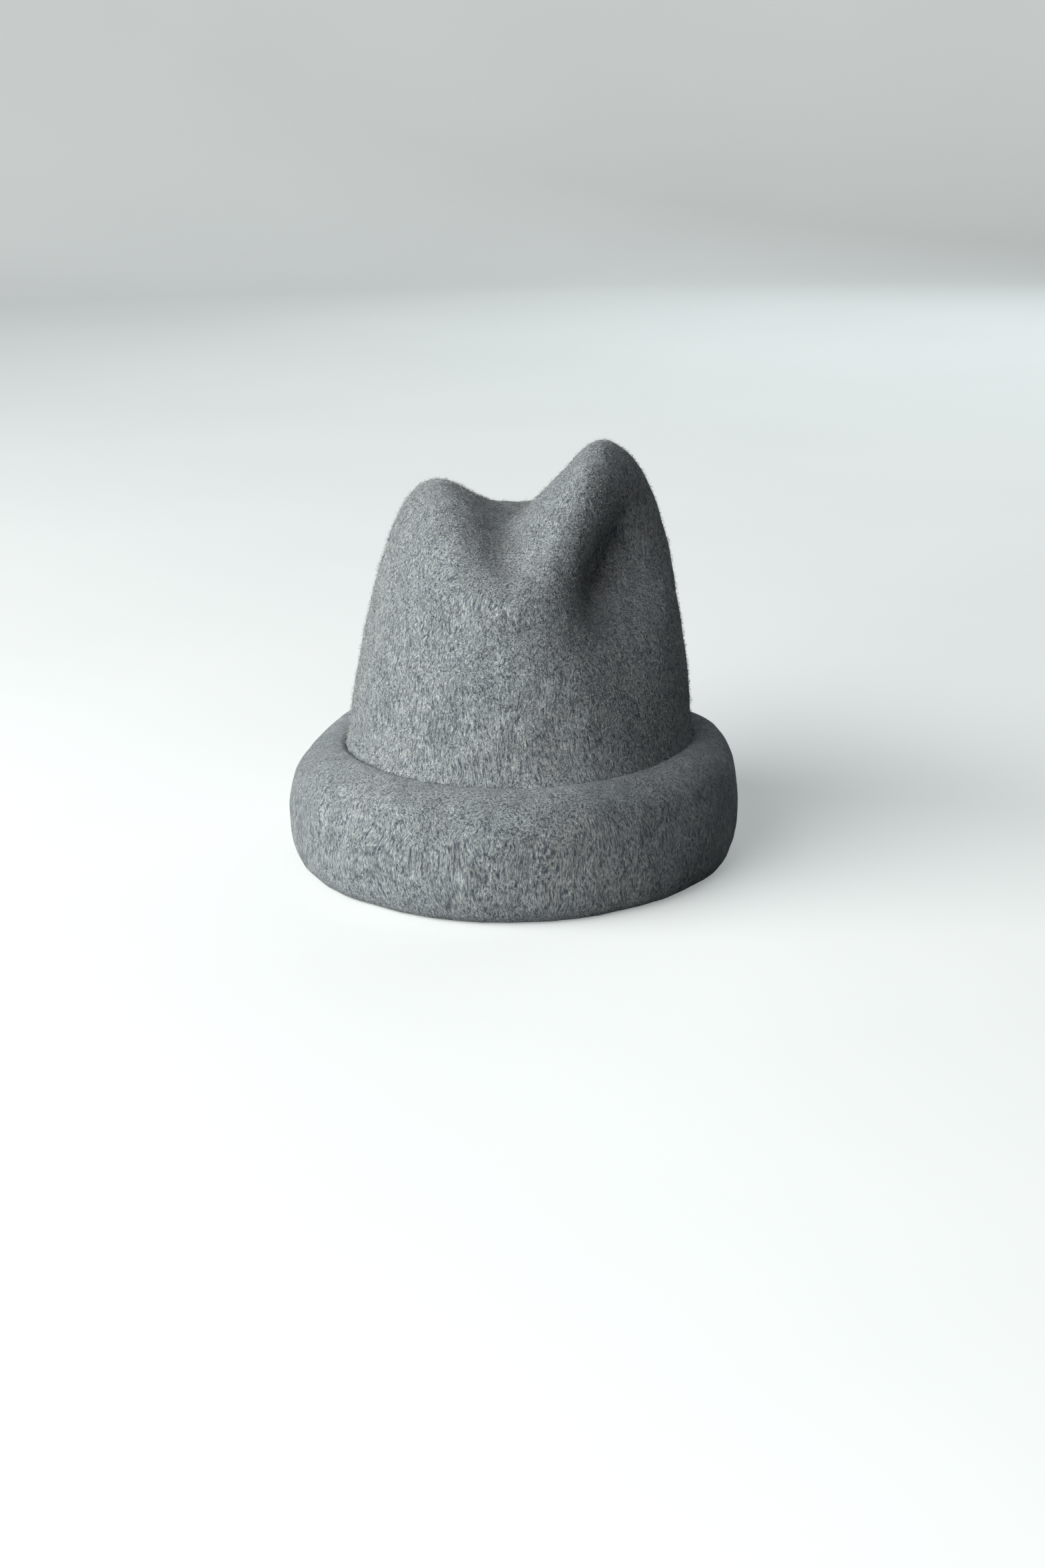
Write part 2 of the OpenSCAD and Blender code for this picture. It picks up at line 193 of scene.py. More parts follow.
def grid_faces(rows, cols, first=0, flip=False, close_rows=False):
    """Quads of a grid whose columns wrap round; rows wrap too if close_rows."""
    used = rows if close_rows else rows - 1
    r, i = np.meshgrid(np.arange(used), np.arange(cols), indexing="ij")
    a = first + r * cols + i
    b = first + r * cols + (i + 1) % cols
    c = first + (r + 1) % rows * cols + (i + 1) % cols
    d = first + (r + 1) % rows * cols + i
    q = np.stack([a, b, c, d], -1).reshape(-1, 4)
    return q[:, ::-1] if flip else q


def as_triangles(quads):
    return np.concatenate([quads[:, [0, 1, 2]], quads[:, [0, 2, 3]]])


def place(o, slot, *nodes):
    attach(o, "root")
    if nodes:
        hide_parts(*nodes)
    return o


def sweep(name, section, point=oval_point, wobble=None):
    """A closed section of [out, z] points carried round the head oval."""
    pts = np.concatenate([point(angle, out, z) for out, z in section])
    if wobble is not None:
        pts = wobble(pts)
    return new_object(name, pts, grid_faces(len(section), AROUND, close_rows=True, flip=True))


# ---- materials ----

def material(name):
    m = bpy.data.materials.new(name)
    m.use_nodes = True
    nt = m.node_tree
    return m, nt, nt.nodes["Principled BSDF"]


def link(nt, a, b):
    nt.links.new(a, b)


def node(nt, kind, **values):
    n = nt.nodes.new(kind)
    for key, value in values.items():
        n.inputs[key].default_value = value
    return n


def math_node(nt, operation, *values):
    n = nt.nodes.new("ShaderNodeMath")
    n.operation = operation
    for socket, value in zip(n.inputs, values):
        if isinstance(value, bpy.types.NodeSocket):
            link(nt, value, socket)
        else:
            socket.default_value = value
    return n.outputs[0]


def ramp(nt, source, stops):
    r = nt.nodes.new("ShaderNodeValToRGB")
    r.color_ramp.elements[0].position = stops[0][0]
    r.color_ramp.elements[0].color = (*stops[0][1], 1)
    r.color_ramp.elements[1].position = stops[-1][0]
    r.color_ramp.elements[1].color = (*stops[-1][1], 1)
    for position, colour in stops[1:-1]:
        r.color_ramp.elements.new(position).color = (*colour, 1)
    link(nt, source, r.inputs["Fac"])
    return r.outputs["Color"]


def noise(nt, vector, scale, detail=2.0, roughness=0.5):
    n = node(nt, "ShaderNodeTexNoise", Scale=scale, Detail=detail, Roughness=roughness)
    link(nt, vector, n.inputs["Vector"])
    return n.outputs["Fac"]


def mapped(nt, vector, scale, rotation=(0, 0, 0)):
    m = nt.nodes.new("ShaderNodeMapping")
    m.inputs["Scale"].default_value = scale
    m.inputs["Rotation"].default_value = rotation
    link(nt, vector, m.inputs["Vector"])
    return m.outputs["Vector"]


def mix_colour(nt, mode, factor, a, b):
    m = nt.nodes.new("ShaderNodeMix")
    m.data_type, m.blend_type = "RGBA", mode
    for socket, value in ((m.inputs[0], factor), (m.inputs[6], a), (m.inputs[7], b)):
        if isinstance(value, bpy.types.NodeSocket):
            link(nt, value, socket)
        elif isinstance(value, tuple):
            socket.default_value = (*value, 1)
        else:
            socket.default_value = value
    return m.outputs[2]


def grey(v):
    return (v, v, v)


def bump(nt, shader, height, distance, strength):
    b = node(nt, "ShaderNodeBump", Strength=strength, Distance=distance)
    link(nt, height, b.inputs["Height"])
    link(nt, b.outputs["Normal"], shader.inputs["Normal"])


def felt_material(name, streak_scale, painted_shade_factor=1.0):
    """Matt grey melange: short light, grey and blue-black fibres along a swirling nap."""
    m, nt, shader = material(name)
    here = nt.nodes.new("ShaderNodeTexCoord").outputs["Object"]
    drift = node(nt, "ShaderNodeTexNoise", Scale=34.0, Detail=1.0)
    link(nt, here, drift.inputs["Vector"])
    shifted = nt.nodes.new("ShaderNodeVectorMath")
    shifted.operation = "MULTIPLY_ADD"
    link(nt, drift.outputs["Color"], shifted.inputs[0])
    shifted.inputs[1].default_value = (0.014, 0.014, 0.014)
    link(nt, here, shifted.inputs[2])
    along = mapped(nt, shifted.outputs[0], streak_scale)
    streak = noise(nt, along, 2400.0, 3.0, 0.65)
    fleck = noise(nt, along, 1050.0, 2.0, 0.6)
    blotch = noise(nt, here, 130.0, 3.0, 0.55)
    broad = noise(nt, here, 22.0, 2.0, 0.5)
    base = ramp(nt, streak, [(0.30, (0.052, 0.070, 0.092)), (0.42, (0.150, 0.172, 0.190)),
                             (0.52, (0.275, 0.300, 0.312)), (0.66, (0.50, 0.515, 0.505))])
    dark = ramp(nt, fleck, [(0.36, (0.34, 0.39, 0.46)), (0.47, grey(0.98)), (0.62, grey(1.24))])
    base = mix_colour(nt, "MULTIPLY", 1.0, base, dark)
    cloud = ramp(nt, blotch, [(0.30, grey(0.78)), (0.70, grey(1.20))])
    base = mix_colour(nt, "MULTIPLY", 1.0, base, cloud)
    # broad random tone, times the last argument of felt_material: below 1 it paints the whole felt
    # darker, as painted shade
    wear_and_painted_shade = ramp(nt, broad, [(0.30, (0.90 * painted_shade_factor, 0.92 * painted_shade_factor, 0.94 * painted_shade_factor)),
                             (0.70, (1.10 * painted_shade_factor, 1.09 * painted_shade_factor, 1.07 * painted_shade_factor))])
    base = mix_colour(nt, "MULTIPLY", 1.0, base, wear_and_painted_shade)
    link(nt, base, shader.inputs["Base Color"])
    link(nt, ramp(nt, streak, [(0.3, grey(0.98)), (0.7, grey(0.86))]), shader.inputs["Roughness"])
    shader.inputs["Specular IOR Level"].default_value = 0.18
    shader.inputs["Sheen Weight"].default_value = 0.22
    shader.inputs["Sheen Roughness"].default_value = 0.6
    shader.inputs["Sheen Tint"].default_value = (0.82, 0.88, 0.92, 1)
    relief = math_node(nt, "MULTIPLY_ADD", blotch, 1.6, streak)
    bump(nt, shader, relief, 0.00028, 0.9)
    return m


def plain_fibre(name, colour):
    m, _, shader = material(name)
    shader.inputs["Base Color"].default_value = (*colour, 1)
    shader.inputs["Roughness"].default_value = 0.88
    shader.inputs["Specular IOR Level"].default_value = 0.2
    shader.inputs["Sheen Weight"].default_value = 0.15
    return m


def leather_material():
    m, nt, shader = material("leather")
    here = nt.nodes.new("ShaderNodeTexCoord").outputs["Object"]
    v = node(nt, "ShaderNodeTexVoronoi", Scale=900.0, Randomness=1.0)
    link(nt, here, v.inputs["Vector"])
    grain = v.outputs["Distance"]
    age = noise(nt, here, 40.0, 5.0, 0.6)
    base = ramp(nt, age, [(0.28, (0.085, 0.043, 0.022)), (0.5, (0.150, 0.080, 0.042)),
                          (0.72, (0.225, 0.128, 0.070))])
    base = mix_colour(nt, "MULTIPLY", 0.55, base,
                      ramp(nt, grain, [(0.0, grey(1.0)), (0.55, grey(0.82)), (0.9, grey(0.45))]))
    link(nt, base, shader.inputs["Base Color"])
    link(nt, ramp(nt, age, [(0.3, grey(0.62)), (0.7, grey(0.40))]), shader.inputs["Roughness"])
    shader.inputs["Coat Weight"].default_value = 0.12
    shader.inputs["Coat Roughness"].default_value = 0.35
    bump(nt, shader, grain, 0.00012, -0.7)
    return m


def weave_material(name, low, high, scale, sheen, roughness, rib=None, twill=0.0):
    """Fine woven cloth: crossing threads from two wave patterns, with soft colour drift."""
    m, nt, shader = material(name)
    here = nt.nodes.new("ShaderNodeTexCoord").outputs["Object"]
    turned = mapped(nt, here, (1, 1, 1), (twill, 0.0, 0.7))
    w1 = node(nt, "ShaderNodeTexWave", Scale=scale, Distortion=0.6)
    w1.bands_direction = "Z"
    link(nt, turned, w1.inputs["Vector"])
    w2 = node(nt, "ShaderNodeTexWave", Scale=rib or scale, Distortion=0.4)
    w2.bands_direction = "X"
    link(nt, turned, w2.inputs["Vector"])
    cross = math_node(nt, "MAXIMUM", w1.outputs["Fac"], w2.outputs["Fac"])
    drift = noise(nt, here, 60.0, 4.0, 0.6)
    base = ramp(nt, drift, [(0.3, low), (0.7, high)])
    base = mix_colour(nt, "MULTIPLY", 0.6, base,
                      ramp(nt, cross, [(0.1, grey(0.45)), (0.9, grey(1.0))]))
    link(nt, base, shader.inputs["Base Color"])
    link(nt, ramp(nt, drift, [(0.3, grey(roughness + 0.08)), (0.7, grey(roughness - 0.06))]),
         shader.inputs["Roughness"])
    shader.inputs["Sheen Weight"].default_value = sheen
    bump(nt, shader, cross, 0.00012, 0.6)
    return m


def steel_material():
    m, nt, shader = material("spring_steel")
    here = nt.nodes.new("ShaderNodeTexCoord").outputs["Object"]
    rub = noise(nt, here, 300.0, 5.0, 0.7)
    link(nt, ramp(nt, rub, [(0.3, (0.30, 0.29, 0.28)), (0.7, (0.56, 0.56, 0.57))]),
         shader.inputs["Base Color"])
    link(nt, ramp(nt, rub, [(0.3, grey(0.5)), (0.7, grey(0.28))]), shader.inputs["Roughness"])
    shader.inputs["Metallic"].default_value = 1.0
    bump(nt, shader, rub, 0.00005, 0.4)
    return m


felt = felt_material("felt", (1.0, 1.0, 0.16))
# the brim's felt is the crown's felt painted 10% darker all over: painted shade on the roll, which is
# the same felt
felt_brim = felt_material("felt_brim", (0.9, 0.9, 0.20), 0.90)
leather = leather_material()
satin = weave_material("satin", (0.030, 0.034, 0.048), (0.058, 0.064, 0.086), 900.0, 0.4, 0.38)
ribbon = weave_material("ribbon", (0.022, 0.025, 0.033), (0.045, 0.049, 0.060), 420.0, 0.25, 0.66,
                        rib=160.0)
tape = weave_material("tape", (0.52, 0.49, 0.42), (0.66, 0.63, 0.55), 700.0, 0.1, 0.85)
label = weave_material("label_cloth", (0.50, 0.48, 0.42), (0.62, 0.60, 0.53), 1100.0, 0.2, 0.6)
thread = weave_material("thread", (0.10, 0.105, 0.115), (0.17, 0.175, 0.185), 1600.0, 0.3, 0.7,
                        twill=0.8)
steel = steel_material()

for name, m in {
    "crown": felt, "rolled_brim": felt_brim, "brim_wire": steel, "wire_joiner": steel,
    "edge_binding": ribbon, "headline_stitching": thread, "tacking_stitches": thread,
    "stay_tape": tape, "sweatband": leather, "sweatband_reed": leather,
    "reed_stitching": thread, "seam_stitching": thread, "sweatband_bow": ribbon,
    "size_label": label, "lining_side": satin, "lining_piping": satin, "lining_tip": satin,
    "maker_label": label,
}.items():
    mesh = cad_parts[name].data
    mesh.materials.clear()
    mesh.materials.append(m)

# ---- crown ----
wall_z = np.concatenate([[CROWN_EDGE], np.linspace(12, FOLD_Z - FELT, 6)])
dome_s = np.arange(CROWN_ROWS) / CROWN_ROWS


def crown_rows(inset):
    """The crown's outer side, or its inner side at that depth, from the raw edge to the top."""
    rows = [oval_point(angle, -inset, z) for z in wall_z]
    for s in dome_s:
        p, n = crown_point(angle, s), crown_normal(angle, s)
        fade = smooth(s * 12)
        snug = SNUG * np.exp(-((p[:, 2:] - BRIM_H + 3) / 6) ** 2)
        rows.append(p + (fade * uneven(p)[:, None] + snug - inset) * n)
    return np.stack(rows)


outer, inner = crown_rows(0), crown_rows(FELT)
tip = crown_point(np.array([0.0]), np.array([1.0]))
tip_n = unit(np.cross(outer[-1][0] - outer[-1][AROUND // 2],
                      outer[-1][AROUND // 4] - outer[-1][3 * AROUND // 4]))
tip = tip + uneven(tip)[:, None] * tip_n
rows = len(outer)
skin = rows * AROUND
cap = np.arange(AROUND)
cap_next = (cap + 1) % AROUND
last = skin - AROUND
triangles = np.concatenate([
    as_triangles(grid_faces(rows, AROUND)),
    as_triangles(grid_faces(rows, AROUND, first=skin, flip=True)),
    np.stack([last + cap, last + cap_next, np.full(AROUND, 2 * skin)], -1),
    np.stack([skin + last + cap_next, skin + last + cap, np.full(AROUND, 2 * skin + 1)], -1),
    np.stack([cap, skin + cap, skin + cap_next], -1),
    np.stack([cap, skin + cap_next, cap_next], -1)])
crown = new_object("felt_crown", np.concatenate([
    outer.reshape(-1, 3), inner.reshape(-1, 3), tip, tip - FELT * tip_n]), triangles)
crown.data.materials.append(felt)
place(crown, "felt", "crown")

# ---- rolled brim ----


def quarter(centre, reach, power, a_1, a_2, steps):
    a = np.radians(np.linspace(a_1, a_2, steps + 1))
    return np.array(centre) + lame(a, power)[:, None] * np.stack(
        [reach[0] * np.cos(a), reach[1] * np.sin(a)], -1)


upper = quarter((REACH - UPPER, BULGE_Z), (UPPER, BRIM_H - BULGE_Z), UPPER_POWER, 0, 90, 30)
tuck = quarter((TUCK_GAP + TUCK, BRIM_H - TUCK), (TUCK, TUCK), 2, 90, 180, 12)
brim_path = np.concatenate([
    np.stack([np.full(5, CLEAR), np.linspace(STAND_TOP, LOWER + 2, 5)], -1),
    quarter((CLEAR + LOWER, LOWER), (LOWER, LOWER), 2, 180, 270, 12),
    [[CLEAR + LOWER + 5, 0]],
    quarter((REACH - LOWER, BULGE_Z), (LOWER, BULGE_Z), LOWER_POWER, 270, 360, 14),
    upper[upper[:, 1] > BULGE_Z + 1],
    tuck[tuck[:, 0] < REACH - UPPER],
    np.stack([np.full(4, TUCK_GAP), np.linspace(BRIM_H - TUCK - 3, TUCK_END, 4)], -1)])
step = np.gradient(brim_path, axis=0)
step /= np.linalg.norm(step, axis=1, keepdims=True)
brim_inner = brim_path + FELT * np.stack([-step[:, 1], step[:, 0]], -1)
# the tight tuck is filled by the folded felt, so its inner side may not cross itself
brim_section = np.concatenate([brim_path, brim_inner[::-1]])


def brim_wobble(pts):
    """The hand-rolled brim isn't even: it waves in and out, most at its ridge."""
    a = angle_of(pts)
    lift = smooth((pts[:, 2] - 14) / 34)
    beyond = np.linalg.norm(pts[:, :2] / np.array([HALF_W, HALF_L]), axis=1)
    away = smooth((beyond - 1.02) / 0.14)
    o = oval_out(a)
    push = uneven(pts) * away
    ridge = away * lift * (
        0.9 * np.sin(3 * a + 0.7) + 0.6 * np.sin(5 * a + 2.1) + 0.35 * np.sin(8 * a))
    pts = pts.copy()
    pts[:, 0] += o[:, 0] * (push + 0.45 * ridge)
    pts[:, 1] += o[:, 1] * (push + 0.45 * ridge)
    out = np.linalg.norm(pts[:, :2] - oval_point(a, 0, 0)[:, :2], axis=1)
    front = smooth((0.25 - np.sin(a)) / 0.9)
    high = smooth((pts[:, 2] - 36) / 14)
    pts[:, 2] += ridge + high * (2.2 * front * smooth((18 - out) / 14) - 2.4 * (1 - front))
    return pts


brim = sweep("felt_brim", brim_section, brim_point, wobble=brim_wobble)
brim.data.materials.append(felt_brim)
place(brim, "felt", "rolled_brim")

# ---- inside: sweatband, tape, binding and lining ----


def box_section(in_1, in_2, z_1, z_2, steps=1):
    z = np.linspace(z_1, z_2, steps + 1)
    return np.concatenate([np.stack([0 * z - in_1, z], -1), np.stack([0 * z - in_2, z[::-1]], -1)])


def bead_section(inset, z, r, sides=14):
    t = -np.arange(sides) * 2 * math.pi / sides
    return np.stack([r * np.cos(t) - inset, z + r * np.sin(t)], -1)


def thin(name, section, m, slot_name, *nodes, **how):
    o = sweep(name, section, **how)
    o.data.materials.append(m)
    return place(o, slot_name, *nodes)


def open_sweep(name, section, from_a, to_a, bend):
    """A section carried along part of the oval, with its two ends closed."""
    a = np.linspace(from_a, to_a, AROUND)
    pts = np.concatenate([oval_point(a, p[0], p[1]) for p in section])
    pts = bend(pts)
    n = len(section)
    q = grid_faces(n, AROUND, close_rows=True, flip=True)
    q = q[(q % AROUND).max(axis=1) - (q % AROUND).min(axis=1) == 1]
    half = n // 2
    near = np.array([[k, k + 1, n - 2 - k, n - 1 - k] for k in range(half - 1)]) * AROUND
    far = near[:, ::-1] + AROUND - 1
    return new_object(name, pts, np.concatenate([q, near, far]))


def band_bend(pts):
    """The leather's free top edge stands a little unevenly off the lining."""
    a = angle_of(pts)
    loose = smooth((pts[:, 2] - 26) / 20)
    shift = -loose * (0.35 + 0.25 * np.sin(5 * a + 1) + 0.15 * np.sin(11 * a))
    pts = pts.copy()
    pts[:, :2] += oval_out(a) * shift[:, None]
    return pts


SEAM = math.radians(0.09)  # the band's two ends nearly meet at the back
band = open_sweep("leather_sweatband",
                  box_section(BAND_IN, BAND_IN + BAND_T, BAND_Z, BAND_Z + BAND_H, 12),
                  math.pi / 2 - SEAM - 2 * math.pi, math.pi / 2 - 2 * SEAM, band_bend)
band.data.materials.append(leather)
place(band, "leather", "sweatband")
thin("reed_roll", bead_section(BAND_IN + BAND_T / 2, REED_Z, REED_R),
     leather, "leather", "sweatband_reed")
thin("cotton_stay_tape", box_section(TAPE_OUT, TAPE_IN, TAPE_Z, TAPE_TOP), tape, "tape", "stay_tape")
far = TUCK_GAP + FELT + 4 * WIRE_R + 0.4
near, over = CLEAR + BINDING_T, BINDING_LOW + BINDING_T
fold = [[CLEAR, BINDING_TOP], [CLEAR, BINDING_LOW], [far, BINDING_LOW], [far, BINDING_TOP],
        [far - BINDING_T, BINDING_TOP], [far - BINDING_T, over], [near, over], [near, BINDING_TOP]]
binding = thin("ribbon_binding", fold[::-1], ribbon, "ribbon", "edge_binding", point=brim_point)
thin("wire_in_edge", bead_section(-(TUCK_GAP + FELT + 2 * WIRE_R), WIRE_Z, WIRE_R, 10),
     steel, "wire", "brim_wire", point=brim_point)
thin("tip_piping", bead_section(PIPING_IN, PIPING_Z, PIPING_R), satin, "satin", "lining_piping")

lining_z = np.linspace(LINING_HEM[1], LINING_TOP[1], 26)
insets, heights = zip(LINING_HEM, LINING_WAIST, LINING_TOP)
lining_in = np.interp(lining_z, heights, insets)
side_section = np.concatenate([np.stack([-lining_in, lining_z], -1),
                               np.stack([-lining_in - LINING_T, lining_z], -1)[::-1]])


def gathers(pts):
    """Soft pleats that are deepest half way up and stay clear of the felt."""
    a = angle_of(pts)
    z = pts[:, 2]
    deep = 0.25 + 1.1 * smooth((z - 34) / 30) * (0.55 + 0.45 * smooth((112 - z) / 16))
    wave = np.sin(46 * a + 0.9 * np.sin(3 * a) + 0.02 * z) + 0.5 * np.sin(29 * a + 1.3)
    pts = pts.copy()
    pts[:, :2] -= oval_out(a) * (deep * (1.2 + wave) * 0.6)[:, None]
    return pts


lining = thin("satin_side", side_section, satin, "satin", "lining_side", wobble=gathers)

TIP_RINGS = 22
middle = np.array([SHIFT, 0])
rim = oval_point(angle, -PIPING_IN, 0.0)[:, :2]
tip_rows = []
for k in range(TIP_RINGS):
    share = 1 - k / TIP_RINGS
    flat_xy = middle + (rim - middle) * share
    puff = 0.9 * smooth((share - 0.40) / 0.3) * smooth((1 - share) / 0.15) * (
        1 + 0.5 * np.sin(9 * angle + 4 * share) + 0.3 * np.sin(14 * angle))
    tip_rows.append(np.concatenate([flat_xy, (TIP_Z + puff)[:, None]], 1))
low = np.concatenate(tip_rows)
high = low + np.array([0, 0, LINING_T])
m = len(low)
tip_faces = np.concatenate([
    as_triangles(grid_faces(TIP_RINGS, AROUND, flip=True)),
    as_triangles(grid_faces(TIP_RINGS, AROUND, first=m)),
    np.stack([m - AROUND + cap_next, m - AROUND + cap, np.full(AROUND, 2 * m)], -1),
    np.stack([2 * m - AROUND + cap, 2 * m - AROUND + cap_next, np.full(AROUND, 2 * m + 1)], -1),
    np.stack([cap, cap_next, m + cap_next], -1),
    np.stack([cap, m + cap_next, m + cap], -1)])
lining_top = new_object("satin_tip", np.concatenate([
    low, high, [[SHIFT, 0, TIP_Z], [SHIFT, 0, TIP_Z + LINING_T]]]), tip_faces)
lining_top.data.materials.append(satin)
place(lining_top, "satin", "lining_tip")

# ---- loose fibres of the nap ----


def surface_samples(grid, count):
    """count random points on a wrapped grid of rows, with normals and the rows' direction."""
    nxt = np.roll(grid, -1, axis=1)
    a, b = grid[:-1], nxt[:-1]
    d, e = grid[1:], nxt[1:]
    area = np.linalg.norm(np.cross(e - a, d - b), axis=-1) / 2
    p = (area / area.sum()).ravel()
    pick = rng.choice(p.size, count, p=p)
    u, v = rng.random((2, count, 1))
    a, b, d, e = (m.reshape(-1, 3)[pick] for m in (a, b, d, e))
    at = (a * (1 - u) + b * u) * (1 - v) + (d * (1 - u) + e * u) * v
    n = unit(np.cross(e - a, d - b))
    up = unit((d - a) * (1 - u) + (e - b) * u)
    return at, n, up


def nap_fibres(at, n, up, lean, spread, length, half, lift):
    """Spindles that lie along the nap: three-sided, closed, bent once."""
    count = len(at)
    turn = lean + 0.75 * waves(at, WAVES_NAP) * spread + rng.normal(0, 0.55, count) * spread
    side = np.cross(n, up)
    t = -up * np.cos(turn)[:, None] + side * np.sin(turn)[:, None]
    b = np.cross(n, t)
    le = rng.uniform(*length, (count, 1))
    hw = rng.uniform(*half, (count, 1))
    mid_up = rng.uniform(0.02, 0.6, (count, 1)) * lift
    end_up = rng.uniform(-0.35, 1.0, (count, 1)) * lift
    bend = rng.normal(0, 0.13, (count, 1)) * le
    mid = at + t * le * 0.5 + n * mid_up + b * bend
    points = np.stack([at - n * 0.12, mid + b * hw, mid - b * hw, mid + n * hw * 0.9,
                       at + t * le + n * end_up], 1)
    faces = np.array([[0, 1, 2], [0, 3, 1], [0, 2, 3], [4, 2, 1], [4, 1, 3], [4, 3, 2]])
    return points, faces


def stray_hairs(at, n, up):
    """Fine hairs that stand off the felt and blur its outline."""
    count = len(at)
    turn = rng.uniform(0, 2 * math.pi, (count, 1))
    t = up * np.cos(turn) + np.cross(n, up) * np.sin(turn)
    b = np.cross(n, t)
    le = rng.uniform(1.2, 3.4, (count, 1))
    rise = rng.uniform(0.25, 1.15, (count, 1))
    curl = rng.normal(0, 0.35, (count, 1))
    w = rng.uniform(0.045, 0.075, (count, 1))
    p1 = at + le * (t * np.cos(rise) * 0.35 + n * np.sin(rise) * 0.40 + b * curl * 0.05)
    p2 = at + le * (t * np.cos(rise) * 0.72 + n * np.sin(rise) * 0.62 + b * curl * 0.22)
    p3 = at + le * (t * np.cos(rise) * 1.05 + n * np.sin(rise) * 0.66 + b * curl * 0.50)
    ring = [b, -0.5 * b + 0.87 * n, -0.5 * b - 0.87 * n]  # a three-sided section
    points = np.stack([at - n * 0.1] + [p1 + w * q for q in ring] + [p2 + 0.8 * w * q for q in ring]
                      + [p3], 1)
    faces = np.array([[0, 2, 1], [0, 3, 2], [0, 1, 3], [7, 4, 5], [7, 5, 6], [7, 6, 4],
                      [1, 2, 5], [1, 5, 4], [2, 3, 6], [2, 6, 5], [3, 1, 4], [3, 4, 6]])
    return points, faces


MOST_FACES = 190000  # for one mesh


def fibre_objects(name, points, faces, m):
    """Many fibres as one mesh, or as several when they are too many for one mesh."""
    batches = np.array_split(points, -(-len(points) * len(faces) // MOST_FACES))
    for i, some in enumerate(batches):
        count, per = some.shape[:2]
        every = (faces[None] + np.arange(count)[:, None, None] * per).reshape(-1, 3)
        o = new_object(f"{name}_{i + 1}" if len(batches) > 1 else name, some.reshape(-1, 3), every)
        o.data.materials.append(m)
        place(o, "felt")


FIBRES = {
    "light": plain_fibre("fibre_light", (0.65, 0.67, 0.655)),
    "pale": plain_fibre("fibre_pale", (0.38, 0.40, 0.405)),
    "mid": plain_fibre("fibre_mid", (0.19, 0.215, 0.235)),
    "dark": plain_fibre("fibre_dark", (0.040, 0.057, 0.080)),
}
THICKER = {"light": 1.1, "pale": 1.0, "mid": 1.1, "dark": 1.35}
# the dark fibres lie in small tufts, and the light ones between them: side, limit, share kept
TUFTS = {"light": (-1, -0.2, 0.57), "pale": (1, -9, 1.0), "mid": (1, -9, 1.0), "dark": (1, 0.3, 0.40)}
WAVES_TUFT = wave_set(40, 1.2, 3.0)
brim_grid = brim_wobble(np.concatenate([brim_point(angle, p[0], p[1]) for p in brim_path])
                        ).reshape(len(brim_path), AROUND, 3)
NAP_LENGTH, NAP_HALF_WIDTH, NAP_LIFT, HAIR_SHARE = (0.9, 2.4), (0.045, 0.09), 0.42, 0.11
# no nap on the hidden rows: rows, number, share of each shade, lean of the nap, its spread
AREAS = {"crown": (outer[6:], 120000, (0.40, 0.24, 0.19, 0.17), 0.25, 1.0),
         # the brim's mix has fewer light and more dark fibres than the crown's: painted shade, for
         # the roll is the same felt
         "brim": (brim_grid[17:-3][:, ::-1], 78000, (0.23, 0.24, 0.28, 0.25), 0.5, 1.25)}
for part, (grid, total, shares, lean, spread) in AREAS.items():
    for (shade, m), share in zip(FIBRES.items(), shares):
        sign, limit, kept = TUFTS[shade]
        at, n, up = surface_samples(grid, int(total * share / kept))
        keep = sign * waves(at, WAVES_TUFT) + rng.normal(0, 0.45, len(at)) > limit
        at, n, up = at[keep], n[keep], up[keep]
        half = [THICKER[shade] * w for w in NAP_HALF_WIDTH]
        fibre_objects(f"{part}_nap_{shade}",
                      *nap_fibres(at, n, up, lean, spread, NAP_LENGTH, half, NAP_LIFT), m)
    for shade in ("light", "mid"):
        at, n, up = surface_samples(grid, int(total * HAIR_SHARE))
        fibre_objects(f"{part}_hairs_{shade}", *stray_hairs(at, n, up), FIBRES[shade])

# ---- floor, light and camera ----
STAGE_GLOW = 0.31
stage_m, nt, shader = material("stage")
here = nt.nodes.new("ShaderNodeTexCoord").outputs["Object"]
pale = ramp(nt, noise(nt, here, 3.0, 2.0), [(0.3, (0.80, 0.83, 0.83)), (0.7, (0.84, 0.87, 0.87))])
link(nt, pale, shader.inputs["Base Color"])
shader.inputs["Roughness"].default_value = 0.95
shader.inputs["Specular IOR Level"].default_value = 0.1
shader.inputs["Emission Color"].default_value = (0.90, 0.97, 0.96, 1)
shader.inputs["Emission Strength"].default_value = STAGE_GLOW
# the studio looks pale, but throws only a little light back on the hat's shaded side
dull = node(nt, "ShaderNodeBsdfDiffuse", Color=(0.20, 0.21, 0.21, 1))
seen = nt.nodes.new("ShaderNodeLightPath")
pick = nt.nodes.new("ShaderNodeMixShader")
link(nt, seen.outputs["Is Camera Ray"], pick.inputs[0])
link(nt, dull.outputs[0], pick.inputs[1])
link(nt, shader.outputs[0], pick.inputs[2])
link(nt, pick.outputs[0], nt.nodes["Material Output"].inputs["Surface"])

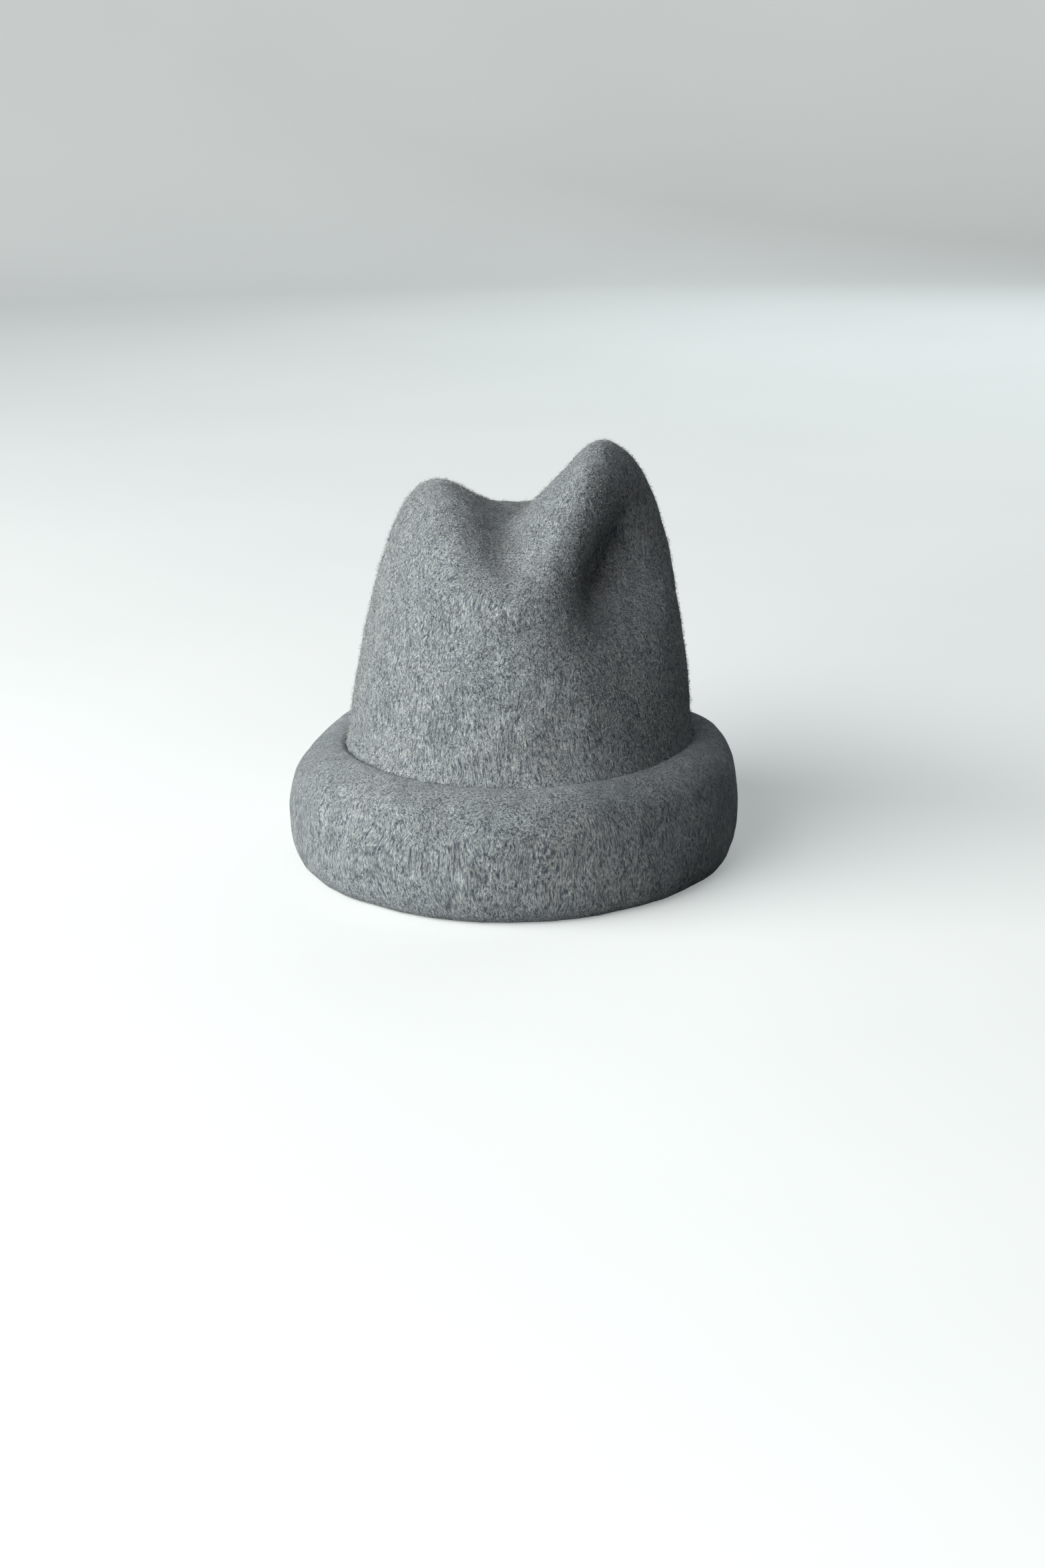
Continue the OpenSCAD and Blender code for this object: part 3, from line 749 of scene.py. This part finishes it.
# a round floor whose edge curves up into a wall, in the row frame
FLAT_R, BEND_R, WALL_H, FLOOR_Z, SIDES = 2700.0, 800.0, 3400.0, -0.3, 96
bowl = [(FLAT_R / 9 * k, 0.0) for k in range(1, 10)]
for k in range(1, 13):
    t = math.radians(90 * k / 12)
    bowl.append((FLAT_R + BEND_R * math.sin(t), BEND_R * (1 - math.cos(t))))
bowl.append((FLAT_R + BEND_R, WALL_H))
turn = np.arange(SIDES) * 2 * math.pi / SIDES
stage_points = np.concatenate([
    np.stack([r * np.cos(turn), r * np.sin(turn), 0 * turn + z + FLOOR_Z], -1)
    for r, z in bowl] + [np.array([[0, 0, FLOOR_Z]])])
ring = np.arange(SIDES)
stage = new_object("stage", stage_points, np.concatenate([
    as_triangles(grid_faces(len(bowl), SIDES, flip=True)),
    np.stack([np.full(SIDES, len(stage_points) - 1), ring, (ring + 1) % SIDES], -1)]))
stage.data.materials.append(stage_m)


LIT_POINT = (0, 0, 0.12)


def area_light(name, azimuth, elevation, distance, size, power, colour):
    a, e = math.radians(azimuth), math.radians(elevation)
    way = Vector((math.sin(a) * math.cos(e), -math.cos(a) * math.cos(e), math.sin(e)))
    data = bpy.data.lights.new(name, "AREA")
    data.shape, data.size, data.size_y = "RECTANGLE", size[0], size[1]
    data.energy, data.color = power, colour
    o = bpy.data.objects.new(name, data)
    o.location = Vector(LIT_POINT) + way * distance
    o.rotation_euler = (-way).to_track_quat("-Z", "Y").to_euler()
    o.visible_camera = False
    bpy.context.scene.collection.objects.link(o)


area_light("window", -59, 23, 2.1, (3.4, 1.8), 99, (1.0, 0.995, 0.97))
area_light("overhead", -60, 78, 2.6, (2.6, 2.6), 1.5, (0.95, 0.98, 1.0))
area_light("back_fill", 153, 28, 2.5, (2.2, 1.8), 16, (0.93, 0.97, 1.0))
world = bpy.data.worlds.new("world")
bpy.context.scene.world = world
world.use_nodes = True
world.node_tree.nodes["Background"].inputs["Color"].default_value = (0.80, 0.88, 0.92, 1)
world.node_tree.nodes["Background"].inputs["Strength"].default_value = 0.010

CAMERA_AT, CAMERA_DOWN, CAMERA_ROLL = (0.0044, -1.274, 0.414), 16.75, -1.2
camera_data = bpy.data.cameras.new("camera")
camera_data.lens, camera_data.sensor_width = 60.0, 36.0
camera = bpy.data.objects.new("camera", camera_data)
camera.matrix_world = Matrix.Translation(CAMERA_AT) @ (
    Euler((math.radians(90 - CAMERA_DOWN), 0, 0)).to_matrix()
    @ Euler((0, 0, math.radians(CAMERA_ROLL))).to_matrix()).to_4x4()
bpy.context.scene.collection.objects.link(camera)
bpy.context.scene.camera = camera
bpy.context.scene.view_settings.view_transform = "Standard"
